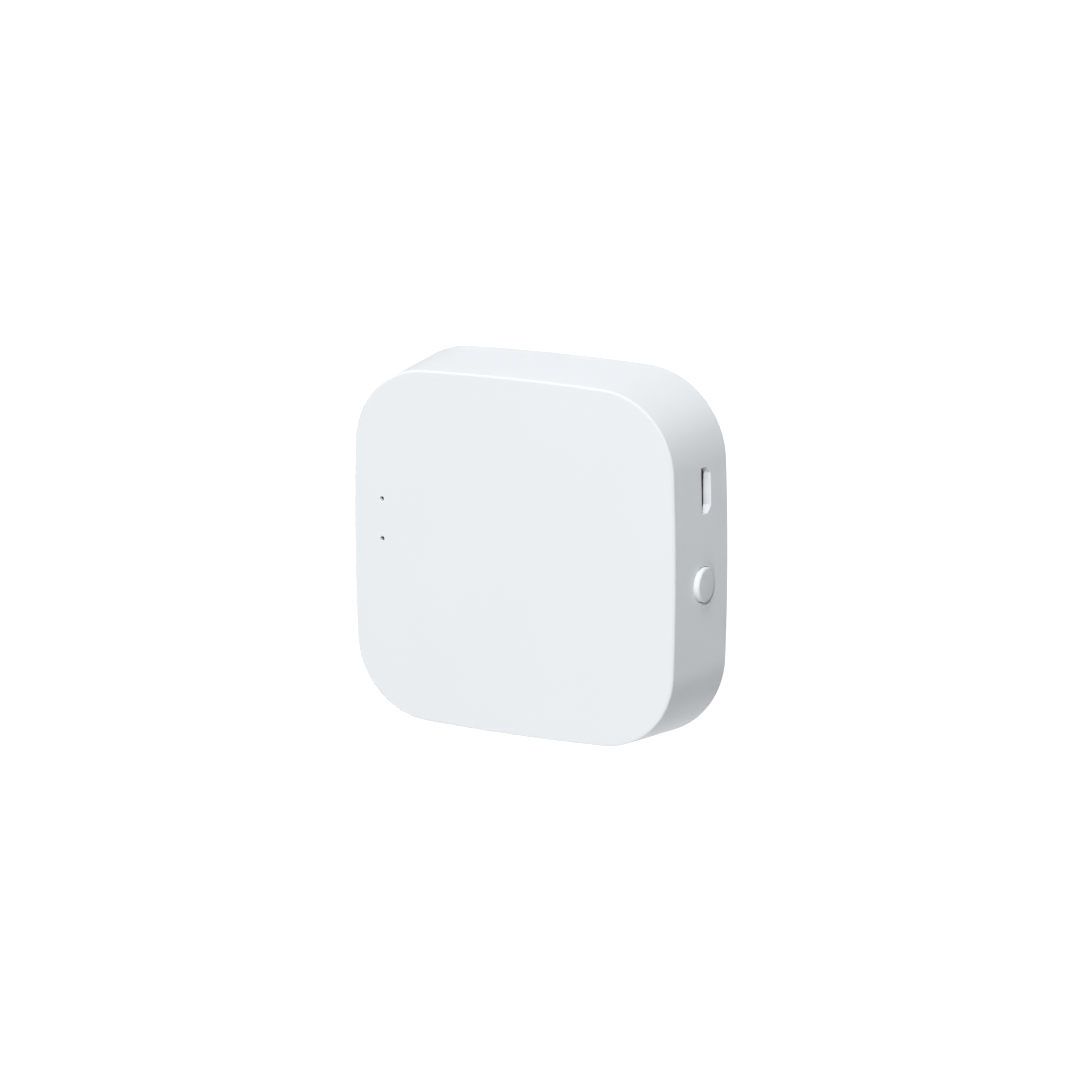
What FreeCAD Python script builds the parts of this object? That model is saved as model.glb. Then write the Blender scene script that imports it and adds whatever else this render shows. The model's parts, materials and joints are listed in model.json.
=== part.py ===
"""A zigbee gateway hub: a square, round-cornered box that lies on its back.

Millimetres. The origin is the middle of the back, +Z points out of the front face, +X to the side
with the socket and the button, +Y to the side that is up in use. Each function makes one node.
"""

import FreeCAD
import Part

import math
import os

V = FreeCAD.Vector
X, Y, Z = V(1, 0, 0), V(0, 1, 0), V(0, 0, 1)

TOLERANCE = 1e-6  # for picking edges by their place

# Housing: its outline is eight tangent arcs, four bowed sides and four corners
DEPTH = 16.8
FRONT_SIDE = 62.0
CORNER_R = 14.0
SIDE_BOW_R = 460.0
FLARE = 1.5  # how much wider each half is at the back than at the front
FRONT_EDGE_R = 0.5
BACK_EDGE_R = 0.5
SIDE_WALL = 1.8
FACE_WALL = 1.8

# Base plate, snapped into the back
BASE_THICK = 1.6
BASE_RIM = 1.0
BASE_GAP = 0.15
LABEL_RECESS = (38.0, 22.0, 0.2)
LABEL_CORNER_R = 2.0
HOOK_WIDTH = 6.0
HOOK_THICK = 1.0
HOOK_GAP = 0.15
HOOK_BITE = 0.45
HOOK_BEAD = 1.2
HOOK_ABOVE_BOARD = 1.6
HOOK_ROOM = 0.3
GROOVE_GAP = 0.15
HOOKS = (  # the wall's direction, and the place along it
    (Y, -12.0),
    (Y, 12.0),
    (-Y, -12.0),
    (-Y, 12.0),
    (-X, -13.0),
    (X, -16.0),
)
POST_D = 3.0
POST_SPACING = (26.0, 44.0)

# Main board and its screws
BOARD_THICK = 1.6
BOARD_GAP = 0.8
SCREW_HEAD_ROOM = 1.175  # between the screw heads and the base plate
BOSS_D = 5.0
SCREW_EDGE = 3.7  # between a screw hole and the board's rounded corner
RIB_THICK = 1.0
RIB_ABOVE_BOARD = 2.5
SCREW_D = 2.0
SCREW_LENGTH = 6.0
SCREW_HOLE_D = 2.4
SCREW_HEAD_D = 3.8
SCREW_HEAD_H = 1.2
SCREW_HEAD_EDGE_R = 0.4
CROSS_SLOT = (2.0, 0.5, 0.6)
TIP_ROOM = 0.6

# Socket: it stands on the board
PORT_UP = 13.15
PORT_MOUTH = (7.85, 2.75)
PORT_CHAMFER = (1.1, 1.0)
PORT_CORNER_R = 0.35
PORT_WALL = 1.25
PORT_SEAT = (11.0, 6.0)
PORT_GAP = 0.15
PORT_LIP = 0.15  # how far the wall's opening stands clear round the shell
SHELL_CHAMFER = (0.9, 0.9)
SHELL_LENGTH = 5.2
SHELL_THICK = 0.25
SHELL_TAB = (1.0, 1.4)
TONGUE = (3.7, 0.6)
TONGUE_SETBACK = 0.6
INSULATOR_LENGTH = 1.4
CONTACTS = 5
CONTACT_PITCH = 0.65
CONTACT = (0.3, 0.12)
CONTACT_TAIL = 1.0

# Button, and the switch that it pushes
BUTTON_UP = -2.85
BUTTON_ABOVE_BOARD = 2.275
BUTTON_D = 6.0
BUTTON_PROUD = 0.7
BUTTON_EDGE_R = 0.4
BUTTON_GAP = 0.1
BUTTON_WALL = 1.6
FLANGE_D = 8.2
SEAT_GAP = 0.6
FLANGE_THICK = 0.8
STEM_D = 3.0
STEM_LENGTH = 1.4
PRESS_TRAVEL = 0.3
SWITCH_BODY = (3.5, 6.0)
SWITCH_ABOVE_AXIS = 1.9
FRAME_THICK = 0.2
FRAME_LEG = (1.2, 1.0)
FRAME_HOLE_GAP = 0.1
PLUNGER_D = 1.9
PLUNGER_LENGTH = 1.3
PLUNGER_HEAD_D = 3.0
PLUNGER_HEAD = 0.4
DOME_D = 3.4
DOME_RISE = 0.45
DOME_THICK = 0.1
POCKET_GAP = 0.1
TERMINALS = 2
TERMINAL = (1.4, 0.7, 0.2)
TERMINAL_PITCH = 4.0
NOTCH_ROOM = 0.5

# Status lights
LIGHT_FROM_SIDE = 5.5
LIGHT_UP = (7.6, 0.6)
PINHOLE_D = 0.8
LIGHT_BORE_D = 2.6
LIGHT_RECESS = 1.0  # how far each light's bore goes on into the face's wall
SHIELD_WALL = 1.1
LED_BASE = (1.6, 0.8, 0.3)
LED_LENS = (1.0, 0.8, 0.4)

# Radio modules: board width, length and thickness, and how far their ends are in from the main
# board's edge
ZIGBEE_BOARD = (16.0, 20.0, 0.8)
WIFI_BOARD = (16.0, 24.0, 0.8)
MODULE_X = -5.0
MODULE_EDGE = 2.0
ANTENNA_END = 6.0
CAN_HEIGHT = 2.2
CAN_THICK = 0.2
CAN_MARGIN = 1.0
CAN_CORNER_R = 0.6
TRACE = (0.6, 0.1)
TRACE_TURNS = 5
TRACE_LENGTH = 4.0
TRACE_PITCH = 2.4
JOINT = (0.9, 0.9, 0.8)
JOINT_PITCH = 2.0
RADIO_CHIP = (5.0, 5.0, 0.85)
FLASH_CHIP = (4.0, 5.0, 1.0)
CRYSTAL = (2.5, 2.0, 0.6)
ZIGBEE_CHIP_SHIFT = (0.0, 2.0)
ZIGBEE_CRYSTAL_SHIFT = (0.0, -3.5)
WIFI_CHIP_SHIFT = (-2.5, 3.0)
WIFI_FLASH_SHIFT = (2.5, -3.5)
WIFI_CRYSTAL_SHIFT = (3.5, 4.0)

# Power supply, on the main board
REGULATOR = (3.5, 6.5, 1.6)
REGULATOR_PLACE = (13.0, 3.0)
REGULATOR_LIFT = 0.1
REGULATOR_LEADS = 3
REGULATOR_PITCH = 2.3
REGULATOR_LEAD = (1.7, 0.7, 0.25)
REGULATOR_TAB_WIDTH = 3.0
CAPACITOR_D = 6.3
CAPACITOR_H = 5.8
CAPACITOR_BASE = (6.6, 1.0)
CAPACITOR_BASE_CHAMFER = 1.1
CAPACITOR_PLACE = (13.0, -16.0)
CAPACITOR_GROOVE = (1.6, 0.25)
CAPACITOR_LEAD = (0.9, 0.65, 0.2)
DIODE = (4.3, 2.6, 2.1)
DIODE_PLACE = (14.0, 17.0)
DIODE_LEAD = (0.6, 1.4, 0.25)
FUSE = (4.5, 3.2, 0.6)
FUSE_PLACE = (14.0, 11.6)
FUSE_CAP = 0.5
CERAMIC = (2.0, 1.25, 0.8)
CERAMIC_PLACES = ((8.0, 17.0), (8.0, 11.0), (8.0, 1.0), (19.0, 3.0), (8.0, -8.0), (20.0, -13.0))
RESISTOR = (1.6, 0.8, 0.45)
RESISTOR_PLACES = ((20.0, -8.5), (8.0, -12.0), (-18.0, -10.0), (8.0, 6.0))
LIGHT_RESISTOR_STEP = 5.6  # from a light to its resistor

# Derived places
FACE_INSIDE = DEPTH - FACE_WALL
BOARD_UNDER = BASE_THICK + SCREW_HEAD_ROOM + SCREW_HEAD_H
BOARD_TOP = BOARD_UNDER + BOARD_THICK
SHELL_MOUTH = (PORT_MOUTH[0] - 2 * PORT_LIP, PORT_MOUTH[1] - 2 * PORT_LIP)
PORT_Z = BOARD_TOP + SHELL_MOUTH[1] / 2
BUTTON_Z = BOARD_TOP + BUTTON_ABOVE_BOARD
BUTTON_SEAT_D = FLANGE_D + 2 * SEAT_GAP
LIGHT_X = LIGHT_FROM_SIDE - FRONT_SIDE / 2


def flare_at(z):
    """How much wider each half is at this height than at the front face."""
    return FLARE * (1 - z / DEPTH)


def corner_centre():
    """How far the corner arcs' centres are from the middle, so that all eight arcs are tangent."""
    reach = SIDE_BOW_R - FRONT_SIDE / 2
    return (math.sqrt(2 * (SIDE_BOW_R - CORNER_R) ** 2 - reach**2) - reach) / 2


def wall_x(y, z, inset=0.0):
    """Where the right wall's surface is, at this place up it and at this height."""
    radius = SIDE_BOW_R + flare_at(z) - inset
    return FRONT_SIDE / 2 - SIDE_BOW_R + math.sqrt(radius**2 - y**2)


def outline(z, inset=0.0):
    """The closed outline of the housing at height z, drawn in by inset."""
    grow = flare_at(z) - inset
    centre = corner_centre()
    back_off = SIDE_BOW_R - FRONT_SIDE / 2
    beta = math.atan2(centre, centre + back_off)
    arcs = []
    for quarter in range(4):
        turn = quarter * math.pi / 2

        def point(middle_x, middle_y, radius, angle):
            x = middle_x + radius * math.cos(angle)
            y = middle_y + radius * math.sin(angle)
            cos, sin = math.cos(turn), math.sin(turn)
            return V(x * cos - y * sin, x * sin + y * cos, z)

        side = [point(-back_off, 0, SIDE_BOW_R + grow, a) for a in (-beta, 0, beta)]
        stops = (beta, math.pi / 4, math.pi / 2 - beta)
        corner = [point(centre, centre, CORNER_R + grow, a) for a in stops]
        arcs += [Part.Arc(*side).toShape(), Part.Arc(*corner).toShape()]
    return Part.Wire(arcs)


def block(low, high, inset=0.0):
    """A solid of the housing's outer form between two heights, drawn in by inset."""
    return Part.makeLoft([outline(low, inset), outline(high, inset)], True, True)


def band(low, high, outer_inset, inner_inset):
    """A ring that follows the walls, between two heights and two insets."""
    return block(low, high, outer_inset).cut(block(low, high, inner_inset))


def box(size, middle, low):
    """A box of this size, centred on middle, standing on height low."""
    corner = V(middle[0] - size[0] / 2, middle[1] - size[1] / 2, low)
    return Part.makeBox(size[0], size[1], size[2], corner)


def rod(diameter, length, place, direction=Z):
    """A round bar from place along direction."""
    return Part.makeCylinder(diameter / 2, length, place, direction)


def rounded_box(size, middle, low, radius):
    """A box with its four upright edges rounded."""
    shape = box(size, middle, low)
    upright = [e for e in shape.Edges if abs(e.tangentAt(e.FirstParameter).z) > 0.5]
    return shape.makeFillet(radius, upright)


def joined(shapes):
    """Several shapes made one solid."""
    return shapes[0].multiFuse(shapes[1:]).removeSplitter()


def square(spacing_x, spacing_y):
    """The four corners of a rectangle about the middle."""
    half_x, half_y = spacing_x / 2, spacing_y / 2
    return [V(x, y, 0) for x in (-half_x, half_x) for y in (-half_y, half_y)]


def row(count, pitch):
    """Evenly spaced places about zero."""
    return [(i - (count - 1) / 2) * pitch for i in range(count)]


def hook_span(width):
    """Boxes that reach past each wall where the base plate has a snap hook."""
    reach = FRONT_SIDE / 2 + 2 * FLARE
    spans = []
    for wall, along in HOOKS:
        span = box((reach, width, DEPTH), (reach / 2, 0), 0)
        span.rotate(V(0, 0, 0), Z, math.degrees(math.atan2(wall.y, wall.x)))
        spans.append(span.translated((X if wall.y else Y) * along))
    return spans


def port_bar(mouth, chamfer, x, end_x, corner_r=0.0):
    """A bar of the socket's outline, with its two chamfers towards the back, from x to end_x."""
    half, low, high = mouth[0] / 2, PORT_Z - mouth[1] / 2, PORT_Z + mouth[1] / 2
    corners = [
        V(x, PORT_UP - half, high),
        V(x, PORT_UP - half, low + chamfer[1]),
        V(x, PORT_UP - half + chamfer[0], low),
        V(x, PORT_UP + half - chamfer[0], low),
        V(x, PORT_UP + half, low + chamfer[1]),
        V(x, PORT_UP + half, high),
    ]
    face = Part.Face(Part.makePolygon(corners + corners[:1]))
    solid = face.extrude(X * (end_x - x))
    if corner_r:
        sharp = [
            e
            for e in solid.Edges
            if abs(e.tangentAt(e.FirstParameter).x) > 0.5 and e.CenterOfMass.z > high - TOLERANCE
        ]
        solid = solid.makeFillet(corner_r, sharp)
    return solid


def board_half():
    """How far the main board reaches from the middle to each side."""
    return FRONT_SIDE / 2 + flare_at(BOARD_TOP) - SIDE_WALL - BOARD_GAP


def boss_spacing():
    """How far apart the bosses are, so that each screw keeps its distance from the board's corner."""
    corner_r = CORNER_R + flare_at(BOARD_TOP) - SIDE_WALL - BOARD_GAP
    return 2 * (corner_centre() + (corner_r - SCREW_HOLE_D / 2 - SCREW_EDGE) / math.sqrt(2))


PORT_SEAT_X = wall_x(PORT_UP, PORT_Z) - PORT_WALL
BUTTON_SEAT_X = wall_x(BUTTON_UP, BUTTON_Z) - BUTTON_WALL
BUTTON_FACE_X = wall_x(BUTTON_UP, BUTTON_Z) + BUTTON_PROUD
STEM_TIP_X = BUTTON_SEAT_X - FLANGE_THICK - STEM_LENGTH
FRAME_X = STEM_TIP_X - PLUNGER_LENGTH
SWITCH_FRONT_X = FRAME_X - FRAME_THICK
POCKET_DEPTH = PLUNGER_HEAD + DOME_RISE
BOSS_SPACING = boss_spacing()
ZIGBEE_PLACE = (MODULE_X, ZIGBEE_BOARD[1] / 2 + MODULE_EDGE - board_half())
WIFI_PLACE = (MODULE_X, board_half() - MODULE_EDGE - WIFI_BOARD[1] / 2)


def on_button_axis(x):
    """A point on the button's axis."""
    return V(x, BUTTON_UP, BUTTON_Z)


def front_housing():
    """The white shell: front face, flared walls, bosses, and seats for the socket and the button."""
    shell = block(0, DEPTH)
    rims = {DEPTH: FRONT_EDGE_R, 0: BACK_EDGE_R}
    for height, radius in rims.items():
        edges = [e for e in shell.Edges if all(abs(v.Z - height) < TOLERANCE for v in e.Vertexes)]
        shell = shell.makeFillet(radius, edges)
    limit = block(0, DEPTH, min(PORT_WALL, BUTTON_WALL, SIDE_WALL) / 2)
    shell = shell.cut(block(0, FACE_INSIDE, SIDE_WALL))
    shell = shell.cut(block(0, BASE_THICK, BASE_RIM))

    port_size = (FRONT_SIDE / 2, PORT_SEAT[0], PORT_SEAT[1])
    port_seat = box(port_size, (PORT_SEAT_X + FRONT_SIDE / 4, PORT_UP), PORT_Z - PORT_SEAT[1] / 2)
    button_seat = rod(BUTTON_SEAT_D, FRONT_SIDE / 2, on_button_axis(BUTTON_SEAT_X), X)
    shell = joined([shell, port_seat.common(limit), button_seat.common(limit)])
    shell = shell.cut(port_seat.translated(X * (-FRONT_SIDE / 2)))
    shell = shell.cut(button_seat.translated(X * (-FRONT_SIDE / 2)))

    for place in square(BOSS_SPACING, BOSS_SPACING):
        foot = V(place.x, place.y, BOARD_TOP)
        boss = rod(BOSS_D, FACE_INSIDE - BOARD_TOP + FACE_WALL / 2, foot)
        reach = BOSS_SPACING / 2
        rib_low = BOARD_TOP + RIB_ABOVE_BOARD
        rib = box((reach, RIB_THICK, FACE_INSIDE - rib_low + FACE_WALL / 2), (reach / 2, 0), rib_low)
        rib.rotate(V(0, 0, 0), Z, math.degrees(math.atan2(place.y, place.x)))
        rib = rib.translated(V(place.x, place.y, 0)).common(block(0, DEPTH, SIDE_WALL / 2))
        pilot = rod(SCREW_D, SCREW_LENGTH - BOARD_THICK + TIP_ROOM, foot)
        shell = joined([shell, boss, rib]).cut(pilot)

    for up in LIGHT_UP:
        shell = shell.cut(rod(LIGHT_BORE_D, LIGHT_RECESS, V(LIGHT_X, up, FACE_INSIDE)))
        shell = shell.cut(rod(PINHOLE_D, DEPTH, V(LIGHT_X, up, FACE_INSIDE)))
    mouth = port_bar(PORT_MOUTH, PORT_CHAMFER, FRONT_SIDE / 4, FRONT_SIDE, PORT_CORNER_R)
    hole = rod(BUTTON_D + 2 * BUTTON_GAP, FRONT_SIDE, on_button_axis(FRONT_SIDE / 4), X)
    shell = shell.cut(mouth).cut(hole)

    low = BOARD_TOP + HOOK_ABOVE_BOARD - HOOK_BEAD
    groove = band(low, low + HOOK_BEAD, SIDE_WALL - HOOK_BITE - GROOVE_GAP, SIDE_WALL + HOOK_THICK)
    for span in hook_span(HOOK_WIDTH + 2 * HOOK_ROOM):
        shell = shell.cut(groove.common(span))
    return shell


def base_plate():
    """The plate that closes the back, with its snap hooks, board posts and bare label recess."""
    plate = block(0, BASE_THICK, BASE_RIM + BASE_GAP)
    recess = rounded_box(LABEL_RECESS, (0, 0), 0, LABEL_CORNER_R)
    plate = plate.cut(recess)
    top = BOARD_TOP + HOOK_ABOVE_BOARD
    outer = SIDE_WALL + HOOK_GAP
    legs = band(BASE_THICK / 2, top, outer, outer + HOOK_THICK)
    low = top - HOOK_BEAD
    bead = band(low, top, SIDE_WALL - HOOK_BITE, outer + HOOK_THICK / 2)
    parts = [plate]
    for span in hook_span(HOOK_WIDTH):
        parts.append(legs.common(span))
        parts.append(bead.common(span))
    for place in square(*POST_SPACING):
        foot = V(place.x, place.y, BASE_THICK / 2)
        parts.append(rod(POST_D, BOARD_UNDER - BASE_THICK / 2, foot))
    return joined(parts)


def main_board():
    """The circuit board, notched for the snap hooks and for the button's flange."""
    board = Part.Face(outline(BOARD_TOP, SIDE_WALL + BOARD_GAP))
    board = board.translated(V(0, 0, -BOARD_THICK)).extrude(Z * BOARD_THICK)
    for place in square(BOSS_SPACING, BOSS_SPACING):
        board = board.cut(rod(SCREW_HOLE_D, BOARD_TOP, V(place.x, place.y, 0)))
    hooks = block(0, DEPTH).cut(block(0, DEPTH, SIDE_WALL + HOOK_GAP + HOOK_THICK + HOOK_ROOM))
    for span in hook_span(HOOK_WIDTH + 2 * HOOK_ROOM):
        board = board.cut(hooks.common(span))
    flange_x = BUTTON_SEAT_X - FLANGE_THICK - PRESS_TRAVEL - NOTCH_ROOM
    notch = (FRONT_SIDE / 2, FLANGE_D + 2 * NOTCH_ROOM, DEPTH)
    return board.cut(box(notch, (flange_x + FRONT_SIDE / 4, BUTTON_UP), 0))


def board_screws():
    """Four self-tapping screws, from the back through the board into the bosses."""
    screws = []
    for place in square(BOSS_SPACING, BOSS_SPACING):
        under = V(place.x, place.y, BOARD_UNDER)
        shank = rod(SCREW_D, SCREW_LENGTH, under)
        head = rod(SCREW_HEAD_D, SCREW_HEAD_H, under - Z * SCREW_HEAD_H)
        rim = [e for e in head.Edges if e.Closed and e.CenterOfMass.z < BOARD_UNDER - SCREW_HEAD_H / 2]
        head = head.makeFillet(SCREW_HEAD_EDGE_R, rim)
        screw = joined([shank, head])
        length, width, depth = CROSS_SLOT
        for size in ((length, width, depth), (width, length, depth)):
            screw = screw.cut(box(size, place, BOARD_UNDER - SCREW_HEAD_H))
        screws.append(screw)
    return Part.makeCompound(screws)


def usb_shell():
    """The socket's steel shell, open at the mouth, with four tabs that stand on the board."""
    mouth_x = PORT_SEAT_X - PORT_GAP
    back_x = mouth_x - SHELL_LENGTH
    outside = port_bar(SHELL_MOUTH, SHELL_CHAMFER, back_x, mouth_x, SHELL_THICK)
    parts = [outside.cut(port_bar(shell_inside(), SHELL_CHAMFER, back_x, mouth_x))]
    length, reach = SHELL_TAB
    for side in (-1, 1):
        for x in (back_x + length, mouth_x - 2 * length):
            middle = PORT_UP + side * (SHELL_MOUTH[0] / 2 + (reach - SHELL_CHAMFER[0]) / 2)
            tab = (length, reach + SHELL_CHAMFER[0], SHELL_THICK)
            parts.append(box(tab, (x, middle), BOARD_TOP))
            upright = (length, SHELL_THICK, SHELL_CHAMFER[1] + SHELL_THICK)
            inside_y = PORT_UP + side * (SHELL_MOUTH[0] / 2 - SHELL_THICK / 2)
            parts.append(box(upright, (x, inside_y), BOARD_TOP))
    return joined(parts)


def shell_inside():
    """The width and height of the room inside the socket's shell."""
    return SHELL_MOUTH[0] - 2 * SHELL_THICK, SHELL_MOUTH[1] - 2 * SHELL_THICK


def usb_core_x():
    """The socket's back, and where its tongue ends."""
    mouth_x = PORT_SEAT_X - PORT_GAP
    return mouth_x - SHELL_LENGTH, mouth_x - TONGUE_SETBACK


def usb_tongue():
    """The black plastic block at the back of the socket, and the tongue that the contacts lie on."""
    back_x, tip_x = usb_core_x()
    insulator = port_bar(shell_inside(), SHELL_CHAMFER, back_x, back_x + INSULATOR_LENGTH)
    tongue = (tip_x - back_x, TONGUE[0], TONGUE[1])
    middle = ((tip_x + back_x) / 2, PORT_UP)
    core = joined([insulator, box(tongue, middle, PORT_Z)])
    for up in row(CONTACTS, CONTACT_PITCH):
        core = core.cut(usb_contact(PORT_UP + up))
    return core


def usb_contact(up):
    """One contact: along the tongue's underside, out of the back, and down to the board."""
    back_x, tip_x = usb_core_x()
    width, thick = CONTACT
    run = (tip_x - back_x - TONGUE_SETBACK + CONTACT_TAIL, width, thick)
    start = back_x - CONTACT_TAIL
    blade = box(run, (start + run[0] / 2, up), PORT_Z)
    drop = (thick, width, PORT_Z + thick - BOARD_TOP)
    leg = box(drop, (start + thick / 2, up), BOARD_TOP)
    foot = box((CONTACT_TAIL / 2, width, thick), (start - CONTACT_TAIL / 4 + thick, up), BOARD_TOP)
    return joined([blade, leg, foot])


def usb_contacts():
    """The five contacts."""
    return Part.makeCompound([usb_contact(PORT_UP + up) for up in row(CONTACTS, CONTACT_PITCH)])


def button_cap():
    """The round cap, with the flange that keeps it in and the stem that meets the switch."""
    face = rod(BUTTON_D, BUTTON_FACE_X - BUTTON_SEAT_X, on_button_axis(BUTTON_SEAT_X), X)
    rim = [e for e in face.Edges if e.Closed and e.CenterOfMass.x > BUTTON_FACE_X - TOLERANCE]
    face = face.makeFillet(BUTTON_EDGE_R, rim)
    flange = rod(FLANGE_D, FLANGE_THICK, on_button_axis(BUTTON_SEAT_X - FLANGE_THICK), X)
    stem = rod(STEM_D, STEM_LENGTH + FLANGE_THICK / 2, on_button_axis(STEM_TIP_X), X)
    return joined([face, flange, stem])


def switch_height():
    """How high the switch's body stands on the board."""
    return BUTTON_Z + SWITCH_ABOVE_AXIS - BOARD_TOP


def switch_body():
    """The switch's black body, with a round pocket for the dome and the plunger's head."""
    depth, width = SWITCH_BODY
    middle = (SWITCH_FRONT_X - depth / 2, BUTTON_UP)
    body = box((depth, width, switch_height()), middle, BOARD_TOP)
    pocket_d = max(DOME_D, PLUNGER_HEAD_D) + 2 * POCKET_GAP
    pocket = rod(pocket_d, POCKET_DEPTH, on_button_axis(SWITCH_FRONT_X - POCKET_DEPTH), X)
    return body.cut(pocket)


def switch_frame():
    """The steel plate over the switch's front, folded back over its top, with two side legs."""
    depth, width = SWITCH_BODY
    height = switch_height()
    leg_x, leg_z = FRAME_LEG
    plate = box((FRAME_THICK, width, height), (FRAME_X - FRAME_THICK / 2, BUTTON_UP), BOARD_TOP)
    hole = rod(PLUNGER_D + 2 * FRAME_HOLE_GAP, 2 * FRAME_THICK, on_button_axis(SWITCH_FRONT_X), X)
    over = (depth / 2 + FRAME_THICK, width, FRAME_THICK)
    parts = [plate.cut(hole), box(over, (FRAME_X - over[0] / 2, BUTTON_UP), BOARD_TOP + height)]
    for side in (-1, 1):
        cheek = (depth + FRAME_THICK, FRAME_THICK, leg_z + height / 2)
        edge = BUTTON_UP + side * (width + FRAME_THICK) / 2
        parts.append(box(cheek, (FRAME_X - cheek[0] / 2, edge), BOARD_TOP))
        foot = (leg_x, leg_z, FRAME_THICK)
        parts.append(box(foot, (FRAME_X - cheek[0] / 2, edge + side * leg_z / 2), BOARD_TOP))
    return joined(parts)


def switch_plunger():
    """The plunger: a head held behind the frame, and a round stem that meets the cap."""
    head = rod(PLUNGER_HEAD_D, PLUNGER_HEAD, on_button_axis(SWITCH_FRONT_X - PLUNGER_HEAD), X)
    stem = rod(PLUNGER_D, STEM_TIP_X - SWITCH_FRONT_X, on_button_axis(SWITCH_FRONT_X), X)
    return joined([head, stem])


def switch_dome():
    """The snap dome: a thin steel cap of a sphere, from the pocket's floor to the plunger."""
    floor = SWITCH_FRONT_X - POCKET_DEPTH
    radius = (DOME_D**2 / 4 + DOME_RISE**2) / (2 * DOME_RISE)
    middle = on_button_axis(floor + DOME_RISE - radius)
    shell = Part.makeSphere(radius, middle).cut(Part.makeSphere(radius - DOME_THICK, middle))
    return shell.common(rod(DOME_D, DOME_RISE, on_button_axis(floor), X))


def switch_terminals():
    """The switch's soldered terminals, out of its back and down on the board."""
    depth = SWITCH_BODY[0]
    length, width, thick = TERMINAL
    back_x = SWITCH_FRONT_X - depth
    feet = []
    for up in row(TERMINALS, TERMINAL_PITCH):
        middle = (back_x - length / 2, BUTTON_UP + up)
        feet.append(box((length, width, thick), middle, BOARD_TOP))
    return Part.makeCompound(feet)


def light_shield():
    """The soft black block between the board and the face, with a bore for each light."""
    width = LIGHT_BORE_D + 2 * SHIELD_WALL
    span = abs(LIGHT_UP[0] - LIGHT_UP[1])
    middle = (LIGHT_X, sum(LIGHT_UP) / 2)
    size = (width, span + width, FACE_INSIDE - BOARD_TOP)
    shield = rounded_box(size, middle, BOARD_TOP, SHIELD_WALL)
    for up in LIGHT_UP:
        shield = shield.cut(rod(LIGHT_BORE_D, DEPTH, V(LIGHT_X, up, 0)))
    return shield


def led_base(up):
    """The base of one status light."""
    return box(LED_BASE, (LIGHT_X, up), BOARD_TOP)


def led_lens(up):
    """The clear lens of one status light, its top edges rounded."""
    lens = box(LED_LENS, (LIGHT_X, up), BOARD_TOP + LED_BASE[2])
    top = [e for e in lens.Edges if e.CenterOfMass.z > lens.BoundBox.ZMax - TOLERANCE]
    return lens.makeFillet(LED_LENS[2] / 3, top)


def module_board(size, place):
    """A radio module's own small board."""
    return box(size, place, BOARD_TOP)


def can_middle(place, antenna_side):
    """The middle of a module's shield can, clear of its antenna end."""
    return place[0], place[1] - antenna_side * ANTENNA_END / 2


def shield_can(size, place, antenna_side):
    """A module's drawn steel can, open underneath."""
    width, length = size[0] - 2 * CAN_MARGIN, size[1] - ANTENNA_END - 2 * CAN_MARGIN
    middle = can_middle(place, antenna_side)
    low = BOARD_TOP + size[2]
    can = rounded_box((width, length, CAN_HEIGHT), middle, low, CAN_CORNER_R)
    top = [e for e in can.Edges if e.BoundBox.ZMin > low + CAN_HEIGHT - TOLERANCE]
    can = can.makeFillet(CAN_THICK, top)
    inner = (width - 2 * CAN_THICK, length - 2 * CAN_THICK, CAN_HEIGHT - CAN_THICK)
    return can.cut(rounded_box(inner, middle, low, CAN_CORNER_R - CAN_THICK))


def antenna(size, place, antenna_side):
    """A module's meandering copper antenna, on its bare end."""
    width, thick = TRACE
    low = BOARD_TOP + size[2]
    middle_y = place[1] + antenna_side * (size[1] - ANTENNA_END) / 2
    runs = []
    stops = row(TRACE_TURNS, TRACE_PITCH)
    for x in stops:
        runs.append(box((width, TRACE_LENGTH, thick), (place[0] + x, middle_y), low))
    for i in range(TRACE_TURNS - 1):
        end = TRACE_LENGTH / 2 - width / 2
        across = (TRACE_PITCH + width, width, thick)
        middle_x = place[0] + (stops[i] + stops[i + 1]) / 2
        runs.append(box(across, (middle_x, middle_y + (end if i % 2 else -end)), low))
    return joined(runs)


def solder_joints(size, place, antenna_side):
    """The solder that holds a module's two long edges to the main board."""
    out, width, height = JOINT
    middle = can_middle(place, antenna_side)
    count = int((size[1] - ANTENNA_END - JOINT_PITCH) / JOINT_PITCH)
    joints = []
    for side in (-1, 1):
        edge = place[0] + side * size[0] / 2
        for along in row(count, JOINT_PITCH):
            y = middle[1] + along
            foot = [V(edge, y - width / 2, BOARD_TOP), V(edge + side * out, y - width / 2, BOARD_TOP)]
            ridge = V(edge, y - width / 2, BOARD_TOP + height)
            face = Part.Face(Part.makePolygon([foot[0], foot[1], ridge, foot[0]]))
            joints.append(face.extrude(Y * width))
    return Part.makeCompound(joints)


def chip(size, module, place, antenna_side, shift):
    """A chip inside a shield can, shifted from the can's middle."""
    middle = can_middle(place, antenna_side)
    return box(size, (middle[0] + shift[0], middle[1] + shift[1]), BOARD_TOP + module[2])


def regulator_body():
    """The voltage regulator's black body, just clear of the board."""
    return box(REGULATOR, REGULATOR_PLACE, BOARD_TOP + REGULATOR_LIFT)


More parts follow.
